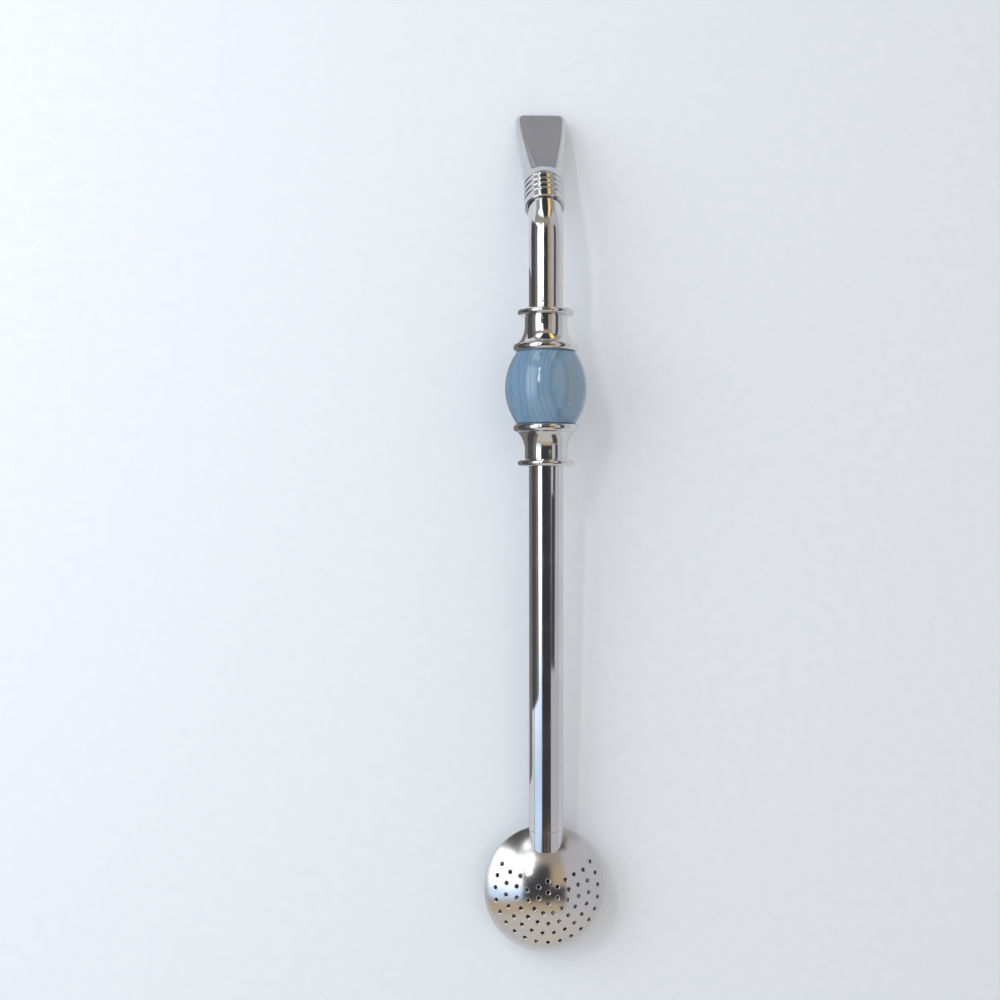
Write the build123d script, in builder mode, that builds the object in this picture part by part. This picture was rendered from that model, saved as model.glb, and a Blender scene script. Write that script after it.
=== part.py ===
from build123d import *

import os
from math import asin, atan, atan2, cos, degrees, hypot, pi, radians, sin, sqrt, tan

# A metal drinking straw for mate (a bombilla): a tube bent near its flattened mouthpiece, with a
# stone bead held between two turned collars, and a round perforated strainer at the far end.
# Millimetres, +Z up. It lies on its back along Y: the strainer at -Y shows its face to +Z, and the
# straw touches the ground at the back of the strainer and under the tip of the mouthpiece.

# ---- Tube ----
tube_diameter = 8.0
tube_wall = 0.6
bend_angle = 32.0
bend_radius = 10.0
bend_station = 152.65  # from the middle of the strainer to the corner of the bend

# ---- Mouthpiece ----
mouth_setback = 6.2  # from the corner of the bend to the socket's rim
mouth_length = 29.4
socket_diameter = 9.4
socket_depth = 7.0
socket_length = 7.9
socket_rim_rounding = 0.35
tip_width = 12.3
tip_thickness = 3.9
tip_corner = 1.3
tip_rounding = 0.7
shoulder_flat = 0.45  # how deep the flats cut into the socket's round end
slot_width = 8.6
slot_height = 1.5
rib_groove_count = 4
rib_groove_first = 2.2
rib_groove_pitch = 1.57
rib_groove_radius = 0.36
rib_groove_depth = 0.24
loft_section_count = 7
flat_between_corners = 0.04  # what stays straight between two corners that nearly meet

# ---- Bead and collars ----
bead_station = 115.7  # middle of the bead, from the middle of the strainer
bead_length = 16.6
bead_diameter = 18.9
bead_end_diameter = 13.5
bead_edge_rounding = 0.4
collar_length = 9.8
collar_rim_diameter = 15.1
collar_rim_height = 2.0
collar_waist_diameter = 9.9
collar_waist_height = 6.4
collar_flange_diameter = 13.2
collar_flange_height = 1.4
collar_groove_depth = 0.2
collar_groove_height = 0.35
collar_flare_share_out = 0.27  # where the middle of the flare's arc lies, out from the waist
collar_flare_share_up = 0.42  # and up from the rim
sliding_clearance = 0.05  # between the tube and each thing threaded on it

# ---- Strainer ----
strainer_diameter = 28.8
strainer_wall = 0.5
strainer_tilt = 6.3  # the strainer's face leans towards the mouthpiece
strainer_setback = 0.3  # from the tube's axis back to the plane where the two dishes meet
face_dome_radius = 19.5
face_height = 6.85
back_dome_radius = 20.0
back_height = 6.5
shoulder_rounding = 0.6  # of a dish, where its wall turns into its dome
neck_inner_station = 9.05
neck_length = 4.6
ring_length = 1.95
neck_seam_chamfer = 0.1
ring_seam_chamfer = 0.04
rest_flat_depth = 0.1  # of the small flat that the strainer rests on

# ---- Holes of the strainer, in rings about one in the middle ----
hole_diameter = 0.85
hole_flare_diameter = 1.3
hole_ring_first = 2.48
hole_ring_pitch = 2.34
# (number of holes, angle of the first, angle of the last), from the inner ring outwards, counted
# from +X towards the mouthpiece; the open sector is left free for the neck.
hole_rings = [
    (6, 30.0, 330.0),
    (9, 174.0, 394.0),
    (13, 150.0, 392.0),
    (16, 153.0, 389.0),
    (19, 150.0, 392.0),
]

# ---- Sizes that follow ----
tube_bore = tube_diameter - 2 * tube_wall
threaded_bore = tube_diameter + 2 * sliding_clearance
neck_outer_station = neck_inner_station + neck_length
stem_start = neck_outer_station + ring_length
stem_run = mouth_setback + socket_depth  # of the tube beyond the corner of the bend


def frame_at(y, z, angle):
    """Plane with local X across the straw, local Y along it and local Z to its face."""
    turn = radians(angle)
    return Plane(origin=(0, y, z), x_dir=(1, 0, 0), z_dir=(0, -sin(turn), cos(turn)))


def moved(plane, y, z, angle):
    """Plane at a place (y, z) of another such plane, turned by an angle about X."""
    origin = plane.from_local_coords(Vector(0, y, z))
    lean = degrees(atan2(-plane.z_dir.Y, plane.z_dir.Z))
    return frame_at(origin.Y, origin.Z, lean + angle)


def across(plane, distance):
    """Section plane at a distance along a piece's own axis."""
    origin = plane.from_local_coords(Vector(0, distance, 0))
    return Plane(origin=origin, x_dir=plane.x_dir, z_dir=plane.y_dir)


flat_length = mouth_length - socket_length
flat_start_thickness = socket_diameter - 2 * shoulder_flat
flat_taper = atan((flat_start_thickness - tip_thickness) / 2 / flat_length)


# ---- How the straw lies ----
# It rests on two round edges: the back dome, less its flat, and the underside of the tip. The
# line that touches both is the ground, which gives the slope of the shaft and its height.
def tip_edge(side):
    """Middle (y, z) of the rounding at the tip, in the shaft's frame: side 1 face, -1 back."""
    turn = radians(-bend_angle)
    along = mouth_setback + mouth_length - tip_rounding
    out = side * (tip_thickness / 2 - tip_rounding * (1 / cos(flat_taper) - tan(flat_taper)))
    return bend_station + along * cos(turn) - out * sin(turn), along * sin(turn) + out * cos(turn)


back_center_height = back_dome_radius - back_height
dome_y = sin(radians(strainer_tilt)) * back_center_height
dome_z = cos(radians(strainer_tilt)) * back_center_height - strainer_setback
dome_reach = back_dome_radius - rest_flat_depth
edge_y, edge_z = tip_edge(-1)
line_length = hypot(edge_y - dome_y, edge_z - dome_z)
line_lean = atan2(edge_z - dome_z, edge_y - dome_y)
slope = asin((tip_rounding - dome_reach) / line_length) - line_lean
shaft_height = dome_reach - dome_y * sin(slope) - dome_z * cos(slope)

dish_lean = slope - radians(strainer_tilt)
face_edge_y, face_edge_z = tip_edge(1)
far_end = face_edge_y * cos(slope) - face_edge_z * sin(slope) + tip_rounding
near_end = strainer_setback * sin(slope) - strainer_diameter / 2 * cos(dish_lean)
shaft_y = -(far_end + near_end) / 2

shaft = frame_at(shaft_y, shaft_height, degrees(slope))
mouth_turn = radians(-bend_angle)
mouth_y = bend_station + mouth_setback * cos(mouth_turn)
mouth = moved(shaft, mouth_y, mouth_setback * sin(mouth_turn), -bend_angle)
dish = moved(shaft, 0, -strainer_setback, -strainer_tilt)


# ---- Tube: one length, bent once ----
side_view = Plane(origin=shaft.origin, x_dir=shaft.y_dir, z_dir=(1, 0, 0))
with BuildPart() as stem:
    with BuildLine(side_view):
        end_y = bend_station + stem_run * cos(mouth_turn)
        end_z = stem_run * sin(mouth_turn)
        FilletPolyline((stem_start, 0), (bend_station, 0), (end_y, end_z), radius=bend_radius)
    with BuildSketch(across(shaft, stem_start)):
        Circle(tube_diameter / 2)
        Circle(tube_bore / 2, mode=Mode.SUBTRACT)
    sweep()
    stem_end_edges = stem.edges().filter_by(GeomType.CIRCLE).sort_by(Axis.Y)[:2]
    chamfer(stem_end_edges.sort_by(SortBy.RADIUS)[-1], ring_seam_chamfer)
stem.part.label = "stem"


# ---- Mouthpiece: a ribbed round socket that flattens into a slotted tip ----
def outer_section(share):
    """Width, thickness and corner radius of the flattened part, from socket (0) to tip (1)."""
    swell = share * share * (3 - 2 * share)
    width = socket_diameter + (tip_width - socket_diameter) * swell
    thickness = flat_start_thickness + (tip_thickness - flat_start_thickness) * share
    start_corner = (flat_start_thickness - flat_between_corners) / 2
    corner = tip_corner + (start_corner - tip_corner) * (1 - share) ** 2
    return width, thickness, corner


def inner_section(share):
    """Width, height and corner radius of the channel, from the tube's bore to the slot."""
    width = tube_bore + (slot_width - tube_bore) * share
    height = tube_bore + (slot_height - tube_bore) * share
    return width, height, (height - flat_between_corners) / 2


with BuildPart() as mouthpiece:
    with BuildSketch(mouth):
        with BuildLine():
            Polyline((0, 0), (socket_diameter / 2, 0), (socket_diameter / 2, socket_length),
                     (0, socket_length), close=True)
        make_face()
        for number in range(rib_groove_count):
            groove_y = rib_groove_first + number * rib_groove_pitch
            groove_x = socket_diameter / 2 + rib_groove_radius - rib_groove_depth
            with Locations((groove_x, groove_y)):
                Circle(rib_groove_radius, mode=Mode.SUBTRACT)
    revolve(axis=Axis(mouth.origin, mouth.y_dir))
    rim_edges = mouthpiece.edges().filter_by(GeomType.CIRCLE).group_by(Axis.Y)[0]
    fillet(rim_edges.sort_by(SortBy.RADIUS)[-1], socket_rim_rounding)
    for number in range(loft_section_count):
        share = number / (loft_section_count - 1)
        width, thickness, corner = outer_section(share)
        with BuildSketch(across(mouth, socket_length + share * flat_length)):
            RectangleRounded(width, thickness, corner)
    loft(ruled=True)
    tip_face = mouthpiece.faces().sort_by(Axis(mouth.origin, mouth.y_dir))[-1]
    fillet(tip_face.edges(), tip_rounding)
    with BuildSketch(across(mouth, 0)):
        Circle(threaded_bore / 2)
    extrude(amount=socket_depth, mode=Mode.SUBTRACT)
    for share in (0, 1):
        width, height, corner = inner_section(share)
        with BuildSketch(across(mouth, socket_depth + share * (mouth_length - socket_depth))):
            RectangleRounded(width, height, corner)
    loft(ruled=True, mode=Mode.SUBTRACT)
mouthpiece.part.label = "mouthpiece"


# ---- Bead: a barrel with rounded ends ----
with BuildPart() as bead:
    with BuildSketch(moved(shaft, bead_station, 0, 0)):
        with BuildLine():
            low = (bead_end_diameter / 2, -bead_length / 2)
            high = (bead_end_diameter / 2, bead_length / 2)
            ThreePointArc(low, (bead_diameter / 2, 0), high)
            Polyline(high, (threaded_bore / 2, high[1]), (threaded_bore / 2, low[1]), low)
        make_face()
    revolve(axis=Axis(shaft.origin, shaft.y_dir))
    end_rings = bead.edges().filter_by(lambda edge: edge.is_closed)
    fillet(end_rings.group_by(SortBy.RADIUS)[-1], bead_edge_rounding)
bead.part.label = "bead"


# ---- Collars: one turned shape, facing the bead from both sides ----
def turned_collar(seat):
    """Collar on a plane whose origin is the bead's end and whose local Y leads away from it."""
    rim = collar_rim_diameter / 2
    rim_middle = collar_rim_height / 2
    waist = collar_waist_diameter / 2
    flange = collar_flange_diameter / 2
    flange_low = collar_length - collar_flange_height
    flange_middle = collar_flange_height / 2
    flare_mid_x = waist + (rim - rim_middle - waist) * collar_flare_share_out
    flare_mid_y = collar_rim_height + (collar_waist_height - collar_rim_height) * collar_flare_share_up
    with BuildPart() as collar:
        with BuildSketch(seat):
            with BuildLine():
                foot = Line((threaded_bore / 2, 0), (rim - rim_middle, 0))
                edge = ThreePointArc(foot @ 1, (rim, rim_middle), (rim - rim_middle, collar_rim_height))
                flare = ThreePointArc(edge @ 1, (flare_mid_x, flare_mid_y), (waist, collar_waist_height))
                body = Polyline(flare @ 1, (waist, flange_low - collar_groove_height),
                                (waist - collar_groove_depth, flange_low - collar_groove_height),
                                (waist - collar_groove_depth, flange_low),
                                (flange - flange_middle, flange_low))
                top = ThreePointArc(body @ 1, (flange, flange_low + flange_middle),
                                    (flange - flange_middle, collar_length))
                Polyline(top @ 1, (threaded_bore / 2, collar_length), foot @ 0)
            make_face()
        revolve(axis=Axis(seat.origin, seat.y_dir))
    return collar.part


collar_upper = turned_collar(moved(shaft, bead_station + bead_length / 2, 0, 0))
collar_upper.label = "collar_upper"
collar_lower = turned_collar(moved(shaft, bead_station - bead_length / 2, 0, 180))
collar_lower.label = "collar_lower"


# ---- Ring and neck: short lengths of the same tube, butted end to end ----
with BuildPart() as ring:
    with BuildSketch(across(shaft, neck_outer_station)):
        Circle(tube_diameter / 2)
        Circle(tube_bore / 2, mode=Mode.SUBTRACT)
    extrude(amount=ring_length)
    ring_ends = ring.edges().filter_by(GeomType.CIRCLE).group_by(SortBy.RADIUS)[-1].sort_by(Axis.Y)
    chamfer(ring_ends[0], neck_seam_chamfer)
    chamfer(ring_ends[-1], ring_seam_chamfer)
ring.part.label = "ring"

with BuildPart() as neck:
    with BuildSketch(across(shaft, neck_inner_station)):
        Circle(tube_diameter / 2)
        Circle(tube_bore / 2, mode=Mode.SUBTRACT)
    extrude(amount=neck_length)
    neck_ends = neck.edges().filter_by(GeomType.CIRCLE).group_by(SortBy.RADIUS)[-1].sort_by(Axis.Y)
    chamfer(neck_ends[-1], neck_seam_chamfer)
neck.part.label = "neck"


# ---- Strainer: two perforated dishes that meet at the rim ----
def hole_places(dome_radius, height):
    """Places of the holes on a dome, in the dish's frame, each looking out of the surface."""
    center = height - dome_radius
    places = [Location((0, 0, height))]
    for number, (count, first, last) in enumerate(hole_rings):
        ring_radius = hole_ring_first + number * hole_ring_pitch
        rise = sqrt(dome_radius**2 - ring_radius**2)
        for step in range(count):
            angle = radians(first + step * (last - first) / (count - 1))
            out = Vector(ring_radius * cos(angle), ring_radius * sin(angle), rise)
            surface = Plane(origin=out + Vector(0, 0, center), z_dir=out)
            places.append(surface.location)
    return places


def perforated_dish(base, dome_radius, height):
    """Dish on a plane where its rim lies, with local Z leading out through its dome."""
    outer = strainer_diameter / 2
    inner = outer - strainer_wall
    inner_dome = dome_radius - strainer_wall
    center = height - dome_radius
    corner = center + sqrt(dome_radius**2 - outer**2)
    inner_corner = center + sqrt(inner_dome**2 - inner**2)
    flare = (hole_flare_diameter - hole_diameter) / 2
    profile = Plane(origin=base.origin, x_dir=base.x_dir, z_dir=-base.y_dir)
    half_turn = sin(pi / 4)
    outer_angle = asin(outer / dome_radius) / 2
    inner_angle = asin(inner / inner_dome) / 2
    with BuildPart() as punch:
        with BuildSketch(Plane.XZ):
            with BuildLine():
                bore = hole_diameter / 2
                depth = -2 * strainer_wall
                curve_mid = (bore + flare * (1 - half_turn), -flare * (1 - half_turn))
                mouth_curve = ThreePointArc((bore, -flare), curve_mid, (bore + flare, 0))
                Polyline(mouth_curve @ 1, (bore + flare, strainer_wall), (0, strainer_wall), (0, depth),
                         (bore, depth), mouth_curve @ 0)
            make_face()
        revolve(axis=Axis.Z)
    with BuildPart(base) as shell:
        with BuildSketch(profile):
            with BuildLine():
                skirt = Line((outer, 0), (outer, corner))
                dome_mid = (dome_radius * sin(outer_angle), center + dome_radius * cos(outer_angle))
                dome = ThreePointArc(skirt @ 1, dome_mid, (0, height))
                inner_mid = (inner_dome * sin(inner_angle), center + inner_dome * cos(inner_angle))
                wall = Line(dome @ 1, (0, height - strainer_wall))
                lining = ThreePointArc(wall @ 1, inner_mid, (inner, inner_corner))
                Polyline(lining @ 1, (inner, 0), skirt @ 0)
            make_face()
            fillet(vertices().group_by(Axis.X)[-1].sort_by(Axis.Y)[-1], shoulder_rounding)
        revolve(axis=Axis(base.origin, base.z_dir))
        for place in hole_places(dome_radius, height):
            with Locations(place):
                add(punch.part, mode=Mode.SUBTRACT)
    return shell.part


with BuildPart() as neck_space:
    with BuildSketch(across(shaft, neck_inner_station)):
        Circle(tube_diameter / 2)
    extrude(amount=neck_length + ring_length)

dish_back = Plane(origin=dish.origin, x_dir=(-1, 0, 0), z_dir=-dish.z_dir)

with BuildPart() as strainer_face:
    add(perforated_dish(dish, face_dome_radius, face_height))
    add(neck_space.part, mode=Mode.SUBTRACT)
strainer_face.part.label = "strainer_face"

with BuildPart() as strainer_back:
    add(perforated_dish(dish_back, back_dome_radius, back_height))
    add(neck_space.part, mode=Mode.SUBTRACT)
    split(bisect_by=Plane.XY, keep=Keep.TOP)
strainer_back.part.label = "strainer_back"


os.makedirs("parts", exist_ok=True)
export_step(stem.part, "parts/stem.step")
export_step(mouthpiece.part, "parts/mouthpiece.step")
export_step(bead.part, "parts/bead.step")
export_step(collar_upper, "parts/collar_upper.step")
export_step(collar_lower, "parts/collar_lower.step")
export_step(ring.part, "parts/ring.step")
export_step(neck.part, "parts/neck.step")
export_step(strainer_face.part, "parts/strainer_face.step")
export_step(strainer_back.part, "parts/strainer_back.step")
print("slope of the shaft", round(degrees(slope), 2), "height at the strainer", round(shaft_height, 2))
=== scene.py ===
import bpy
from math import atan2, cos, pi, radians, sin, sqrt
from mathutils import Matrix, Vector


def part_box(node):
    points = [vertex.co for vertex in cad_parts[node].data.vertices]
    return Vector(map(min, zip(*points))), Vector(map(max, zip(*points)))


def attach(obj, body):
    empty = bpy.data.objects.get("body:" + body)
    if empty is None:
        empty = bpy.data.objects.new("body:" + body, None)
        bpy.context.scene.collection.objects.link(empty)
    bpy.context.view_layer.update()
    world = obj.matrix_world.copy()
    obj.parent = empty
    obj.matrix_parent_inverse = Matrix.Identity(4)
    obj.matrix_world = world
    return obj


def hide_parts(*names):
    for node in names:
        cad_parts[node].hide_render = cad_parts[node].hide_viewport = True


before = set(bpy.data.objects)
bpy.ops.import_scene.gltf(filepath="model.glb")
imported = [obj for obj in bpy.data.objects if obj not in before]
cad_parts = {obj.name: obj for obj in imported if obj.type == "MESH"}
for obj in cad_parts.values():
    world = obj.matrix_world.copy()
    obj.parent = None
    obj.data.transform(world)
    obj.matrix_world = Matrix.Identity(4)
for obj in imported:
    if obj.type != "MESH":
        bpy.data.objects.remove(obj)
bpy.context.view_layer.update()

# A metal straw for mate lies on its back along Y: strainer at -Y, mouthpiece at +Y.
# Sizes are in millimetres and become metres when a mesh is made.
MM = 0.001

# ---------------------------------------------------------------- sizes, as in the CAD
TUBE_RADIUS = 4.0
TUBE_BORE_RADIUS = 3.4
BEND_ANGLE = radians(32)
BEND_RADIUS = 10.0
BEND_FROM_BEAD = 36.95  # from the bead's middle to the corner of the bend
MOUTH_SETBACK = 6.2  # from the corner of the bend to the socket's rim
MOUTH_LENGTH = 29.4
SOCKET_RADIUS = 4.7
SOCKET_DEPTH = 7.0
SOCKET_LENGTH = 7.9
SOCKET_RIM_ROUNDING = 0.35
TIP_WIDTH, TIP_THICKNESS = 12.3, 3.9
TIP_CORNER = 1.3
TIP_ROUNDING = 0.7
TIP_SIDE_ROUNDING = 1.7  # of the tip's two outer corners, seen from the front
SHOULDER_FLAT = 0.45
SLOT_WIDTH, SLOT_HEIGHT = 8.6, 1.5
GROOVES = [2.2 + 1.57 * number for number in range(4)]
GROOVE_RADIUS, GROOVE_DEPTH = 0.36, 0.24
BEAD_LENGTH, BEAD_RADIUS, BEAD_END_RADIUS, BEAD_ROUNDING = 16.6, 9.45, 6.75, 0.4
COLLAR_LENGTH = 9.8
COLLAR_RIM_RADIUS, COLLAR_RIM_HEIGHT = 7.55, 2.0
COLLAR_WAIST_RADIUS, COLLAR_WAIST_HEIGHT = 4.95, 6.4
COLLAR_FLANGE_RADIUS, COLLAR_FLANGE_HEIGHT = 6.6, 1.4
COLLAR_GROOVE_DEPTH, COLLAR_GROOVE_HEIGHT = 0.2, 0.35
COLLAR_GROOVE_CHAMFER = 0.05
COLLAR_FLARE_SHARE_OUT, COLLAR_FLARE_SHARE_UP = 0.27, 0.42  # the middle of the flare's arc
CLEARANCE = 0.05
RING_LENGTH = 1.95
SEAM = 0.04  # chamfer where the tube meets the ring
BEAD_EDGE_MIDDLE, BEAD_EDGE_IN = (0.14, 0.12), 0.52  # the arc that rounds the bead's edge
CORNER_GAP = 0.01  # what stays straight beside a corner that takes up a whole side
BLEND_BEFORE, BLEND_AFTER = 0.5, 1.6  # where the socket turns flat, around its end

# ---------------------------------------------------------------- where the shaft lies


def middle(node):
    """Middle of a CAD node's box."""
    low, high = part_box(node)
    return (low + high) / 2


bead_middle = middle("bead")
shaft_run = bead_middle - middle("ring")
shaft_slope = atan2(shaft_run.z, shaft_run.y)
to_shaft = Matrix.Rotation(shaft_slope, 3, "X")
shaft = Matrix.Translation(bead_middle) @ to_shaft.to_4x4()  # origin in the bead, Y along the shaft
STEM_START = -shaft_run.length / MM + RING_LENGTH / 2  # from the bead's middle

# ---------------------------------------------------------------- camera
# It looks down on the straw's face, square to the shaft but for a small roll to one side.
CAMERA_ROLL = radians(-2.38)
CAMERA_FROM_BEAD = Vector((-24.09, -25.91, 323.3)) * MM
camera_data = bpy.data.cameras.new("camera")
camera_data.sensor_width = 36
camera_data.lens = 50.4
camera_data.clip_start = 0.01
camera = bpy.data.objects.new("camera", camera_data)
bpy.context.scene.collection.objects.link(camera)
camera.matrix_world = shaft @ Matrix.Translation(CAMERA_FROM_BEAD) @ Matrix.Rotation(CAMERA_ROLL, 4, "Y")
bpy.context.scene.camera = camera

# ---------------------------------------------------------------- node helpers


class Nodes:
    """Short words for building a node tree."""

    def __init__(self, tree):
        self.tree = tree

    def add(self, kind, inputs=None, **settings):
        node = self.tree.nodes.new(kind)
        for key, value in settings.items():
            setattr(node, key, value)
        for key, value in (inputs or {}).items():
            if isinstance(value, bpy.types.NodeSocket):
                self.tree.links.new(value, node.inputs[key])
            else:
                node.inputs[key].default_value = value
        return node

    def math(self, operation, *values):
        node = self.add("ShaderNodeMath", dict(enumerate(values)), operation=operation)
        return node.outputs[0]

    def between(self, value, low, high, to_low=0.0, to_high=1.0, smooth=True):
        inputs = {"Value": value, "From Min": low, "From Max": high, "To Min": to_low, "To Max": to_high}
        node = self.add("ShaderNodeMapRange", inputs)
        node.interpolation_type = "SMOOTHSTEP" if smooth else "LINEAR"
        return node.outputs[0]

    def mix(self, share, first, second, blend="MIX"):
        node = self.add("ShaderNodeMix", data_type="RGBA", blend_type=blend)
        for socket, value in ((node.inputs[0], share), (node.inputs[6], first), (node.inputs[7], second)):
            if isinstance(value, bpy.types.NodeSocket):
                self.tree.links.new(value, socket)
            elif isinstance(value, (int, float)):
                socket.default_value = value
            else:
                socket.default_value = (*value, 1)
        return node.outputs[2]

    def noise(self, place, scale, detail=2.0, roughness=0.5, stretch=(1, 1, 1)):
        mapping = self.add("ShaderNodeMapping", {"Vector": place, "Scale": stretch})
        inputs = {"Vector": mapping.outputs[0], "Scale": scale, "Detail": detail, "Roughness": roughness}
        return self.add("ShaderNodeTexNoise", inputs).outputs["Fac"]


def new_material(name):
    material = bpy.data.materials.new(name)
    material.use_nodes = True
    return material, Nodes(material.node_tree), material.node_tree.nodes["Principled BSDF"]


# ---------------------------------------------------------------- materials


def polished_metal(name, color, smooth, worn, wave):
    """Polished steel: faint smudges in its gloss, hairline scratches, and a slightly wavy surface."""
    material, make, shader = new_material(name)
    place = make.add("ShaderNodeTexCoord").outputs["Object"]
    smudges = make.between(make.noise(place, 130, 4, 0.6), 0.42, 0.75)
    hairlines = make.noise(place, 1500, 3, 0.7, (1, 0.03, 1))
    cross_lines = make.noise(place, 1300, 3, 0.7, (0.05, 1, 0.4))
    scratches = make.between(hairlines, 0.6, 0.75)
    rough = make.math("MULTIPLY_ADD", smudges, worn - smooth, smooth)
    rough = make.math("MULTIPLY_ADD", scratches, 0.05, rough)
    tint = make.noise(place, 60, 3, 0.5)
    dull = tuple(channel * 0.93 for channel in color)
    shader.inputs["Metallic"].default_value = 1
    make.tree.links.new(make.mix(make.between(tint, 0.35, 0.7), color, dull), shader.inputs["Base Color"])
    make.tree.links.new(rough, shader.inputs["Roughness"])
    waves = make.noise(place, 95, 1, 0.4, (1, 0.35, 1))
    height = make.math("MULTIPLY_ADD", waves, wave, make.math("MULTIPLY", cross_lines, 0.002))
    height = make.math("MULTIPLY_ADD", hairlines, 0.004, height)
    bump = make.add("ShaderNodeBump", {"Height": height, "Strength": 0.35, "Distance": 0.001})
    make.tree.links.new(bump.outputs["Normal"], shader.inputs["Normal"])
    return material


tube_metal = polished_metal("tube_metal", (0.70, 0.69, 0.68), 0.10, 0.17, 0.05)
collar_metal = polished_metal("collar_metal", (0.72, 0.71, 0.70), 0.10, 0.16, 0.03)
strainer_metal = polished_metal("strainer_metal", (0.70, 0.69, 0.68), 0.17, 0.27, 0.10)
mouth_metal = polished_metal("mouthpiece_metal", (0.64, 0.64, 0.645), 0.11, 0.18, 0.05)


HEART_PLACE, HEART_SIZE = Vector((4.6, 0.6, 7.0)), (3.2, 6.4, 5.0)  # from the bead's middle, along the shaft


def banded_stone():
    """Blue-grey stone, polished: thin wavy layers around a paler heart that lies off to one side."""
    material, make, shader = new_material("bead_stone")
    place = make.add("ShaderNodeTexCoord").outputs["Object"]
    heart = bead_middle + to_shaft @ HEART_PLACE * MM
    local = make.add("ShaderNodeVectorMath", {0: place, 1: heart}, operation="SUBTRACT").outputs[0]
    squeeze = tuple(1 / (size * MM) for size in HEART_SIZE)
    local = make.add("ShaderNodeVectorMath", {0: local, 1: squeeze}, operation="MULTIPLY").outputs[0]
    depth = make.add("ShaderNodeVectorMath", {0: local}, operation="LENGTH").outputs["Value"]
    drift = make.noise(place, 150, 2, 0.5, (1, 0.5, 1))
    fine_drift = make.noise(place, 900, 2, 0.5, (1, 0.25, 1))
    layer = make.math("MULTIPLY_ADD", drift, 0.9, depth)
    layer = make.math("MULTIPLY_ADD", fine_drift, 0.05, layer)
    broad = make.add("ShaderNodeTexNoise", {"W": layer, "Scale": 3.2, "Detail": 2.0}, noise_dimensions="1D")
    thin = make.add("ShaderNodeTexNoise", {"W": layer, "Scale": 13, "Detail": 3.0}, noise_dimensions="1D")
    deep, body = (0.135, 0.235, 0.345), (0.17, 0.285, 0.40)
    pale, grey = (0.225, 0.34, 0.44), (0.245, 0.32, 0.385)
    color = make.mix(make.between(broad.outputs["Fac"], 0.35, 0.65), deep, body)
    color = make.mix(make.between(thin.outputs["Fac"], 0.52, 0.72), color, pale)
    heart_share = make.math("MULTIPLY", make.between(layer, 1.9, 0.7), 0.75)
    color = make.mix(heart_share, color, grey)
    cloud = make.noise(place, 420, 4, 0.6)
    color = make.mix(make.math("MULTIPLY", make.between(cloud, 0.5, 0.8), 0.35), color, pale)
    make.tree.links.new(color, shader.inputs["Base Color"])
    shader.inputs["Roughness"].default_value = 0.12
    shader.inputs["IOR"].default_value = 1.54
    shader.inputs["Coat Weight"].default_value = 0.3
    shader.inputs["Coat Roughness"].default_value = 0.03
    pits = make.noise(place, 700, 2, 0.5)
    bump = make.add("ShaderNodeBump", {"Height": pits, "Strength": 0.05, "Distance": 0.001})
    make.tree.links.new(bump.outputs["Normal"], shader.inputs["Normal"])
    return material


bead_stone = banded_stone()

# ---------------------------------------------------------------- meshes


def arc(center, radius, start, end, steps):
    """Points of an arc from one angle to another, in degrees."""
    turns = [radians(start + (end - start) * step / steps) for step in range(steps + 1)]
    return [(center[0] + radius * cos(turn), center[1] + radius * sin(turn)) for turn in turns]


def three_point_arc(first, through, last, steps):
    """Points of the circle's arc that runs through three points."""
    (ax, ay), (bx, by), (cx, cy) = first, through, last
    double = 2 * (ax * (by - cy) + bx * (cy - ay) + cx * (ay - by))
    a2, b2, c2 = ax * ax + ay * ay, bx * bx + by * by, cx * cx + cy * cy
    ux = (a2 * (by - cy) + b2 * (cy - ay) + c2 * (ay - by)) / double
    uy = (a2 * (cx - bx) + b2 * (ax - cx) + c2 * (bx - ax)) / double
    radius = sqrt((ax - ux) ** 2 + (ay - uy) ** 2)
    start, mid, end = (atan2(y - uy, x - ux) for x, y in (first, through, last))
    while mid - start > pi:
        mid -= 2 * pi
    while mid - start < -pi:
        mid += 2 * pi
    while end - mid > pi:
        end -= 2 * pi
    while end - mid < -pi:
        end += 2 * pi
    turns = [start + (end - start) * step / steps for step in range(steps + 1)]
    return [(ux + radius * cos(turn), uy + radius * sin(turn)) for turn in turns]


def skin(name, loops, place, material, node, corner=28):
    """Closed mesh through a cycle of loops, each the same number of points, placed by a matrix."""
    count = len(loops[0])
    vertices = [place @ (Vector(point) * MM) for loop in loops for point in loop]
    faces = []
    for number in range(len(loops)):
        this, following = number * count, (number + 1) % len(loops) * count
        for step in range(count):
            after = (step + 1) % count
            faces.append((this + step, this + after, following + after, following + step))
    mesh = bpy.data.meshes.new(name)
    mesh.from_pydata(vertices, [], faces)
    mesh.validate()
    mesh.shade_smooth()
    mesh.set_sharp_from_angle(angle=radians(corner))
    mesh.materials.append(material)
    piece = bpy.data.objects.new(name, mesh)
    bpy.context.scene.collection.objects.link(piece)
    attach(piece, "root")
    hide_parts(node)
    return piece


def turned_loops(profile, segments=160):
    """Loops around Y of a closed outline of (radius, height) points."""
    turns = [2 * pi * step / segments for step in range(segments)]
    return [
        [(radius * cos(turn), height, radius * sin(turn)) for turn in turns] for radius, height in profile
    ]


def without_repeats(points):
    """The points, less each that lies on the one before it."""
    kept = [points[0]]
    for point in points[1:]:
        if (Vector(point) - Vector(kept[-1])).length > 1e-4:
            kept.append(point)
    return kept


threaded_radius = TUBE_RADIUS + CLEARANCE

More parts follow.
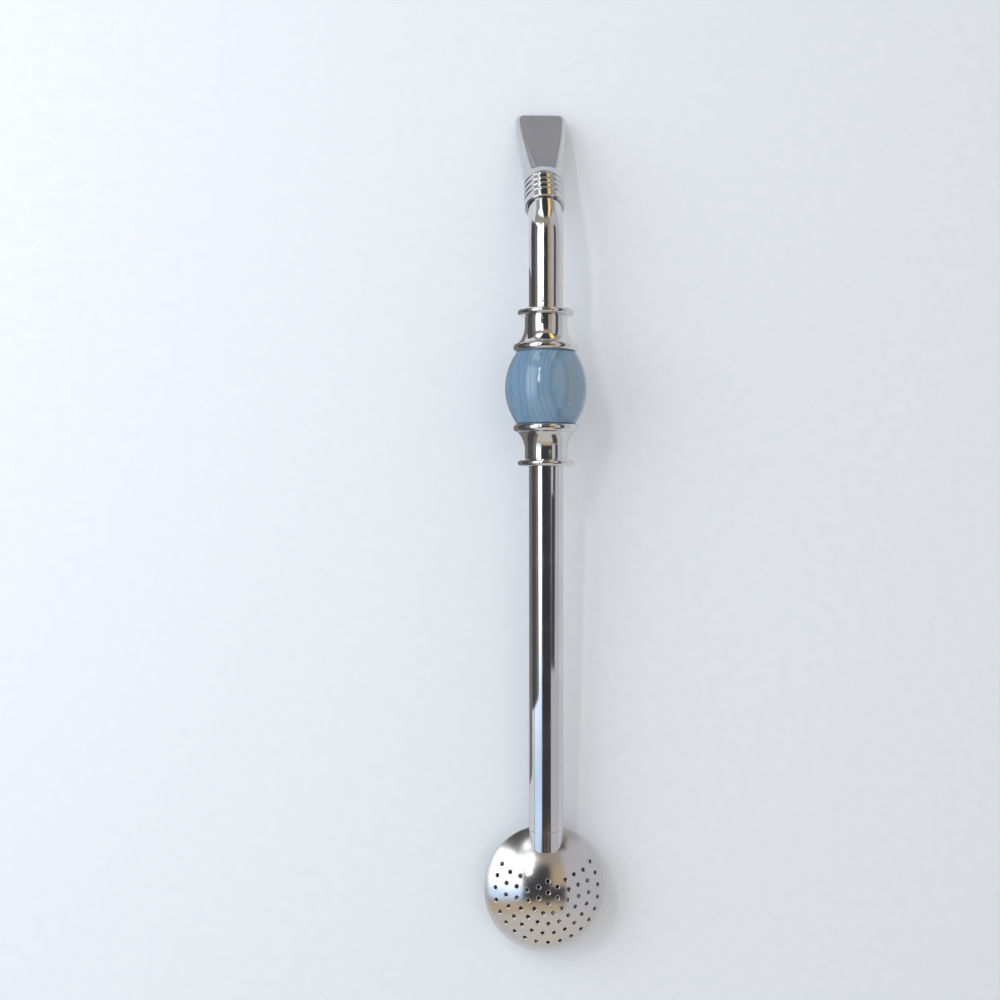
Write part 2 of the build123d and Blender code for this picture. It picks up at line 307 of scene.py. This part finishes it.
# Bead: a barrel. Its ends are rounded where the barrel's arc meets them.
half = BEAD_LENGTH / 2
barrel = three_point_arc((BEAD_END_RADIUS, -half), (BEAD_RADIUS, 0), (BEAD_END_RADIUS, half), 64)
barrel = [point for point in barrel if abs(point[1]) < half - BEAD_ROUNDING]
edge = barrel[-1]
edge_middle = (edge[0] - BEAD_EDGE_MIDDLE[0], half - BEAD_EDGE_MIDDLE[1])
rounding = three_point_arc(edge, edge_middle, (edge[0] - BEAD_EDGE_IN, half), 6)
low_rounding = [(radius, -height) for radius, height in reversed(rounding)]
outline = low_rounding + barrel[1:-1] + rounding + [(threaded_radius, half), (threaded_radius, -half)]
skin("bead_stone", turned_loops(without_repeats(outline)), shaft, bead_stone, "bead")

# Collars: one turned shape on both sides of the bead.
rim, rim_middle = COLLAR_RIM_RADIUS, COLLAR_RIM_HEIGHT / 2
waist, flange, flange_middle = COLLAR_WAIST_RADIUS, COLLAR_FLANGE_RADIUS, COLLAR_FLANGE_HEIGHT / 2
flange_low = COLLAR_LENGTH - COLLAR_FLANGE_HEIGHT
groove_low, groove_radius = flange_low - COLLAR_GROOVE_HEIGHT, waist - COLLAR_GROOVE_DEPTH
flare_middle = (
    waist + (rim - rim_middle - waist) * COLLAR_FLARE_SHARE_OUT,
    COLLAR_RIM_HEIGHT + (COLLAR_WAIST_HEIGHT - COLLAR_RIM_HEIGHT) * COLLAR_FLARE_SHARE_UP,
)
collar_outline = (
    [(threaded_radius, 0)]
    + arc((rim - rim_middle, rim_middle), rim_middle, -90, 90, 16)
    + three_point_arc((rim - rim_middle, COLLAR_RIM_HEIGHT), flare_middle, (waist, COLLAR_WAIST_HEIGHT), 24)
    + [(waist, groove_low - COLLAR_GROOVE_CHAMFER), (waist - COLLAR_GROOVE_CHAMFER, groove_low)]
    + [(groove_radius, groove_low), (groove_radius, flange_low)]
    + arc((flange - flange_middle, flange_low + flange_middle), flange_middle, -90, 90, 14)
    + [(threaded_radius, COLLAR_LENGTH)]
)
collar_loops = turned_loops(without_repeats(collar_outline))
upper_seat = shaft @ Matrix.Translation((0, half * MM, 0))
lower_seat = shaft @ Matrix.Translation((0, -half * MM, 0)) @ Matrix.Rotation(pi, 4, "X")
skin("collar_upper_turned", collar_loops, upper_seat, collar_metal, "collar_upper")
skin("collar_lower_turned", collar_loops, lower_seat, collar_metal, "collar_lower")

# Tube: a run, one bend, and a run into the mouthpiece.
bend_cut = BEND_RADIUS * sin(BEND_ANGLE / 2) / cos(BEND_ANGLE / 2)
straight_steps, bend_steps = 60, 24
stations = []
for step in range(straight_steps + 1):
    along = STEM_START + (BEND_FROM_BEAD - bend_cut - STEM_START) * step / straight_steps
    stations.append((along, 0.0, 0.0))
for step in range(1, bend_steps + 1):
    turn = BEND_ANGLE * step / bend_steps
    along = BEND_FROM_BEAD - bend_cut + BEND_RADIUS * sin(turn)
    stations.append((along, -BEND_RADIUS * (1 - cos(turn)), turn))
end_run = MOUTH_SETBACK + SOCKET_DEPTH
stations.append((BEND_FROM_BEAD + end_run * cos(BEND_ANGLE), -end_run * sin(BEND_ANGLE), BEND_ANGLE))


def ring_at(station, radius, segments=128):
    """Points of a circle around the tube's middle line, square to it."""
    along, height, lean = station
    loop = []
    for step in range(segments):
        turn = 2 * pi * step / segments
        up = radius * sin(turn)
        loop.append((radius * cos(turn), along + up * sin(lean), height + up * cos(lean)))
    return loop


first_along = stations[0][0]
outer_rings = [ring_at((first_along, 0, 0), TUBE_RADIUS - SEAM)]
outer_rings += [ring_at((first_along + SEAM, 0, 0), TUBE_RADIUS)]
outer_rings += [ring_at(station, TUBE_RADIUS) for station in stations[1:]]
inner_rings = [ring_at(station, TUBE_BORE_RADIUS) for station in reversed(stations)]
skin("tube", outer_rings + inner_rings, shaft, tube_metal, "stem")

# Mouthpiece: a ribbed round socket that flattens into a slotted tip.
flat_length = MOUTH_LENGTH - SOCKET_LENGTH
flat_start = 2 * (SOCKET_RADIUS - SHOULDER_FLAT)


def outer_section(share):
    """Width, thickness and corner radius of the flattened part, from socket (0) to tip (1)."""
    width = 2 * SOCKET_RADIUS + (TIP_WIDTH - 2 * SOCKET_RADIUS) * share * share * (3 - 2 * share)
    thickness = flat_start + (TIP_THICKNESS - flat_start) * share
    corner = TIP_CORNER + (flat_start / 2 - 2 * CORNER_GAP - TIP_CORNER) * (1 - share) ** 2
    return width, thickness, corner


def rounded_loop(width, thickness, corner, along, flat_steps=7, corner_steps=16):
    """Points of a rounded rectangle, counter-clockwise from the middle of its +X side."""
    across, up = width / 2 - corner, thickness / 2 - corner
    points = []
    for quadrant in range(4):
        turn_in = quadrant * pi / 2
        center = ((across, up), (-across, up), (-across, -up), (across, -up))[quadrant]
        reach_in, reach_out = (up, across) if quadrant % 2 == 0 else (across, up)
        start = (center[0] + corner * cos(turn_in), center[1] + corner * sin(turn_in))
        back = (-sin(turn_in), cos(turn_in))
        for step in range(flat_steps):
            left = reach_in * (1 - step / flat_steps)
            points.append((start[0] - back[0] * left, start[1] - back[1] * left))
        for step in range(corner_steps + 1):
            turn = turn_in + pi / 2 * step / corner_steps
            points.append((center[0] + corner * cos(turn), center[1] + corner * sin(turn)))
        last, ahead = points[-1], (-sin(turn_in + pi / 2), cos(turn_in + pi / 2))
        for step in range(1, flat_steps):
            gone = reach_out * step / flat_steps
            points.append((last[0] + ahead[0] * gone, last[1] + ahead[1] * gone))
    return [(x, along, z) for x, z in points]


def round_loop(radius, along):
    """A circle with the same number of points as the other loops."""
    return rounded_loop(2 * radius, 2 * radius, radius - CORNER_GAP, along)


def groove_cut(along):
    """How far the rib grooves go in at a place along the socket."""
    cut = 0.0
    for place in GROOVES:
        off = abs(along - place)
        if off < GROOVE_RADIUS:
            cut = max(cut, sqrt(GROOVE_RADIUS**2 - off * off) - GROOVE_RADIUS + GROOVE_DEPTH)
    return cut


mouth_loops = [round_loop(threaded_radius, 0)]
rim_rounding = SOCKET_RIM_ROUNDING
for radius, along in arc((SOCKET_RADIUS - rim_rounding, rim_rounding), rim_rounding, -90, 0, 8):
    mouth_loops.append(round_loop(radius, along))
socket_steps = 150
blend_start, blend_end = SOCKET_LENGTH - BLEND_BEFORE, SOCKET_LENGTH + BLEND_AFTER
for step in range(1, socket_steps):
    along = SOCKET_RIM_ROUNDING + (blend_start - SOCKET_RIM_ROUNDING) * step / socket_steps
    mouth_loops.append(round_loop(SOCKET_RADIUS - groove_cut(along), along))


def section_at(along):
    """Width, thickness and corner radius anywhere on the way from the socket to the tip."""
    share = max(0.0, (along - SOCKET_LENGTH) / flat_length)
    width, thickness, corner = outer_section(share)
    if along < blend_end:
        ease = (along - blend_start) / (blend_end - blend_start)
        ease = ease * ease * (3 - 2 * ease)
        thickness = 2 * SOCKET_RADIUS + (thickness - 2 * SOCKET_RADIUS) * ease
        corner = SOCKET_RADIUS - CORNER_GAP + (corner - SOCKET_RADIUS + CORNER_GAP) * ease
    return width, thickness, min(corner, thickness / 2 - CORNER_GAP)


flat_steps = 70
for step in range(flat_steps + 1):
    along = blend_start + (MOUTH_LENGTH - TIP_SIDE_ROUNDING - blend_start) * step / flat_steps
    mouth_loops.append(rounded_loop(*section_at(along), along))
tip_steps = 16
for step in range(1, tip_steps + 1):
    turn = pi / 2 * step / tip_steps
    along = MOUTH_LENGTH - TIP_SIDE_ROUNDING * (1 - sin(turn))
    width, thickness, corner = section_at(along)
    width -= 2 * TIP_SIDE_ROUNDING * (1 - cos(turn))
    into = max(0.0, along - (MOUTH_LENGTH - TIP_ROUNDING))
    shrink = TIP_ROUNDING - sqrt(max(0.0, TIP_ROUNDING**2 - into * into))
    thickness -= 2 * shrink
    mouth_loops.append(rounded_loop(width, thickness, min(corner, thickness / 2 - CORNER_GAP), along))
channel_steps = 12
for step in range(channel_steps + 1):
    share = 1 - step / channel_steps
    width = 2 * TUBE_BORE_RADIUS + (SLOT_WIDTH - 2 * TUBE_BORE_RADIUS) * share
    height = 2 * TUBE_BORE_RADIUS + (SLOT_HEIGHT - 2 * TUBE_BORE_RADIUS) * share
    along = SOCKET_DEPTH + share * (MOUTH_LENGTH - SOCKET_DEPTH)
    mouth_loops.append(rounded_loop(width, height, height / 2 - 2 * CORNER_GAP, along))
mouth_loops.append(round_loop(threaded_radius, SOCKET_DEPTH))
mouth_origin = Vector((0, BEND_FROM_BEAD + MOUTH_SETBACK * cos(BEND_ANGLE), -MOUTH_SETBACK * sin(BEND_ANGLE)))
mouth = shaft @ Matrix.Translation(mouth_origin * MM) @ Matrix.Rotation(-BEND_ANGLE, 4, "X")
skin("mouthpiece_shell", mouth_loops, mouth, mouth_metal, "mouthpiece")

# The strainer, its neck and the ring between the seams keep their CAD shapes.
for name in ("neck", "ring", "strainer_face", "strainer_back"):
    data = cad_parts[name].data
    data.materials.clear()
    data.materials.append(strainer_metal if name.startswith("strainer") else tube_metal)

# ---------------------------------------------------------------- floor


def add_panel(name, width, height, place, toward):
    """Flat panel around a place, facing a point, with its own Y kept along the straw."""
    x, y = width / 2, height / 2
    mesh = bpy.data.meshes.new(name)
    mesh.from_pydata([(-x, -y, 0), (x, -y, 0), (x, y, 0), (-x, y, 0)], [], [(0, 1, 2, 3)])
    panel = bpy.data.objects.new(name, mesh)
    facing = (Vector(toward) - Vector(place)).normalized()
    side = Vector((0, 1, 0)).cross(facing).normalized()
    turn = Matrix((side, facing.cross(side), facing)).transposed()
    panel.matrix_world = Matrix.Translation(place) @ turn.to_4x4()
    bpy.context.scene.collection.objects.link(panel)
    return panel


floor = add_panel("floor", 4, 4, (0, 0, 0), (0, 0, 1))
FLOOR_COLOR, FLOOR_GRAIN = (0.83, 0.87, 0.905), (0.81, 0.855, 0.895)
floor_material, make, shader = new_material("floor")
grain = make.noise(make.add("ShaderNodeTexCoord").outputs["Object"], 300, 4, 0.6)
color = make.mix(make.between(grain, 0.3, 0.7), FLOOR_COLOR, FLOOR_GRAIN)
make.tree.links.new(color, shader.inputs["Base Color"])
shader.inputs["Roughness"].default_value = 0.85
floor.data.materials.append(floor_material)

# ---------------------------------------------------------------- light
# A wide window up on the left lights everything, with a bright gap in its frame. The room is
# dark overhead and paler at the sides and ends. Cards close to the shaft, seen only in its
# gloss, keep dark lines along the polished tube.


def emissive(name, look, two_sided=False):
    """Material that only shines, in a colour or as a function builds it; from behind it isn't there,
    unless it has two sides."""
    material = bpy.data.materials.new(name)
    material.use_nodes = True
    tree = material.node_tree
    tree.nodes.clear()
    make = Nodes(tree)
    color = look(make) if callable(look) else (*look, 1)
    shine = make.add("ShaderNodeEmission", {"Color": color, "Strength": 1.0}).outputs[0]
    if not two_sided:
        clear = make.add("ShaderNodeBsdfTransparent").outputs[0]
        back = make.add("ShaderNodeNewGeometry").outputs["Backfacing"]
        shine = make.add("ShaderNodeMixShader", {0: back, 1: shine, 2: clear}).outputs[0]
    make.add("ShaderNodeOutputMaterial", {"Surface": shine})
    return material


def own_place(make, axis):
    """Place along one of the panel's own axes, in metres from its middle."""
    place = make.add("ShaderNodeTexCoord").outputs["Object"]
    return make.add("ShaderNodeSeparateXYZ", {0: place}).outputs[axis]


SKY, WINDOW, GAP = (0.75, 1.0, 1.35), (2.1, 2.2, 2.4), (14.0, 14.2, 14.5)
# The left card's grey-brown top and dark lower part are painted shade of a wall that faces away from the
# window; the metal shows it only in its gloss.
WALL_SHADE_BROWN, CARD_DARK, FLOOR_SHADE_GREY = (0.22, 0.20, 0.19), (0.085, 0.085, 0.09), (0.24, 0.225, 0.215)


def window_light(make):
    """White, and bluer at the strainer's end, where it shows the sky."""
    return make.mix(make.between(own_place(make, "Y"), -0.26, -0.1), SKY, WINDOW)


def shaded_wall_look(make):
    """Painted shade of a wall facing away from the window: grey-brown along its top and dark below; its own X
    points down.
    """
    return make.mix(make.between(own_place(make, "X"), -0.009, -0.001), WALL_SHADE_BROWN, CARD_DARK)


window = add_panel("window", 0.53, 0.64, (-0.45, 0.07, 0.28), (-0.035, 0.07, 0.0))
window.data.materials.append(emissive("window_light", window_light))
gap = add_panel("window_gap", 0.035, 0.3, (-0.225, 0.24, 0.52), (0, 0.02, 0.012))
gap.data.materials.append(emissive("window_gap_light", GAP))
for panel in (window, gap):
    panel.visible_camera = False

# Name, width, length, place, the point it faces, and look.
cards = (
    ("left_card", 0.036, 0.133, (-0.034, 0.0185, 0.02), (0, 0.0185, 0.02), shaded_wall_look),
    # Painted shade: a grey strip over the floor, seen only in the gloss, stands for the floor that lies in
    # shade beside the wall.
    ("floor_shade_card", 0.026, 0.125, (-0.022, 0.0, 0.0015), (-0.022, 0.0, 1), FLOOR_SHADE_GREY),
    ("low_card", 0.016, 0.044, (0.0235, -0.018, 0.038), (0, -0.018, 0.008), CARD_DARK),
    ("high_card", 0.010, 0.08, (0.0285, 0.044, 0.038), (0, 0.044, 0.012), CARD_DARK),
)
for name, width, length, place, toward, look in cards:
    card = add_panel(name, width, length, place, toward)
    card.data.materials.append(emissive(name, look, two_sided=True))
    card.visible_camera = False
    card.visible_diffuse = False
    card.visible_shadow = False

fill_data = bpy.data.lights.new("fill", "AREA")
fill_data.energy = 2.2
fill_data.size = 0.8
fill_data.color = (0.95, 0.98, 1.0)
fill = bpy.data.objects.new("fill", fill_data)
fill.location = (0.1, 0, 0.9)
fill.visible_glossy = False
bpy.context.scene.collection.objects.link(fill)

world = bpy.data.worlds.new("room")
bpy.context.scene.world = world
world.use_nodes = True
make = Nodes(world.node_tree)
toward = make.add("ShaderNodeTexCoord").outputs["Generated"]
side, along, up = make.add("ShaderNodeSeparateXYZ", {0: toward}).outputs
sway = make.math("MULTIPLY_ADD", make.noise(toward, 3.5, 3, 0.6), 22.0, -11.0)
drift = make.math("MULTIPLY_ADD", make.noise(toward, 4.5, 3, 0.6, (1, 1.3, 0.8)), 0.2, -0.1)
swing = make.math("MULTIPLY", make.math("ARCTAN2", side, up), 180 / pi)  # degrees right of overhead
swing_soft = make.math("ADD", swing, sway)
along_soft = make.math("ADD", along, drift)
turn = make.math("MULTIPLY", make.math("ARCTAN2", side, along), 180 / pi)  # degrees right of +Y
rise = make.math("MULTIPLY", make.math("ARCSINE", up), 180 / pi)  # degrees above the horizon


def inside(value, low, high, soft):
    """1 between two values and 0 outside, with soft borders."""
    above, below = make.between(value, low - soft, low + soft), make.between(value, high + soft, high - soft)
    return make.math("MULTIPLY", above, below)


def patch(under, color, *shares):
    """A colour laid over another wherever all the shares are 1."""
    share = shares[0]
    for more in shares[1:]:
        share = make.math("MULTIPLY", share, more)
    return make.mix(share, under, color)


DARK, TAN, GOLD, WARM = (0.05, 0.05, 0.055), (0.58, 0.45, 0.30), (1.5, 1.05, 0.35), (0.40, 0.35, 0.31)
LEFT_GREY, RIGHT_GREY, LOW_GREY = (0.42, 0.44, 0.47), (0.60, 0.60, 0.65), (0.66, 0.62, 0.59)
END_GREY, END_WHITE = (0.40, 0.40, 0.43), (2.2, 2.3, 2.4)
color = make.mix(make.between(swing_soft, -45, -24), LEFT_GREY, DARK)
color = patch(color, TAN, inside(swing, 9, 38, 4), make.between(along_soft, -0.04, 0.02))
color = patch(color, WARM, make.between(along_soft, 0.42, 0.58), make.between(swing, 40, 30))
color = make.mix(make.between(swing, 27, 31), color, RIGHT_GREY)
color = patch(color, TAN, make.between(along_soft, -0.32, -0.37), make.between(swing_soft, 34, 22))
color = patch(color, LOW_GREY, make.between(along_soft, -0.50, -0.62))
end = make.between(along, 0.70, 0.78)
color = patch(color, DARK, end, make.between(turn, 34, 28))
color = patch(color, END_WHITE, end, inside(turn, -44, -19, 3), inside(rise, 9, 46, 3))
color = patch(color, GOLD, end, inside(turn, 13, 25, 3), make.between(rise, 10, 14))
color = patch(color, END_GREY, end, make.between(rise, 13, 10))
make.tree.links.new(color, world.node_tree.nodes["Background"].inputs["Color"])

bpy.context.scene.view_settings.view_transform = "Standard"
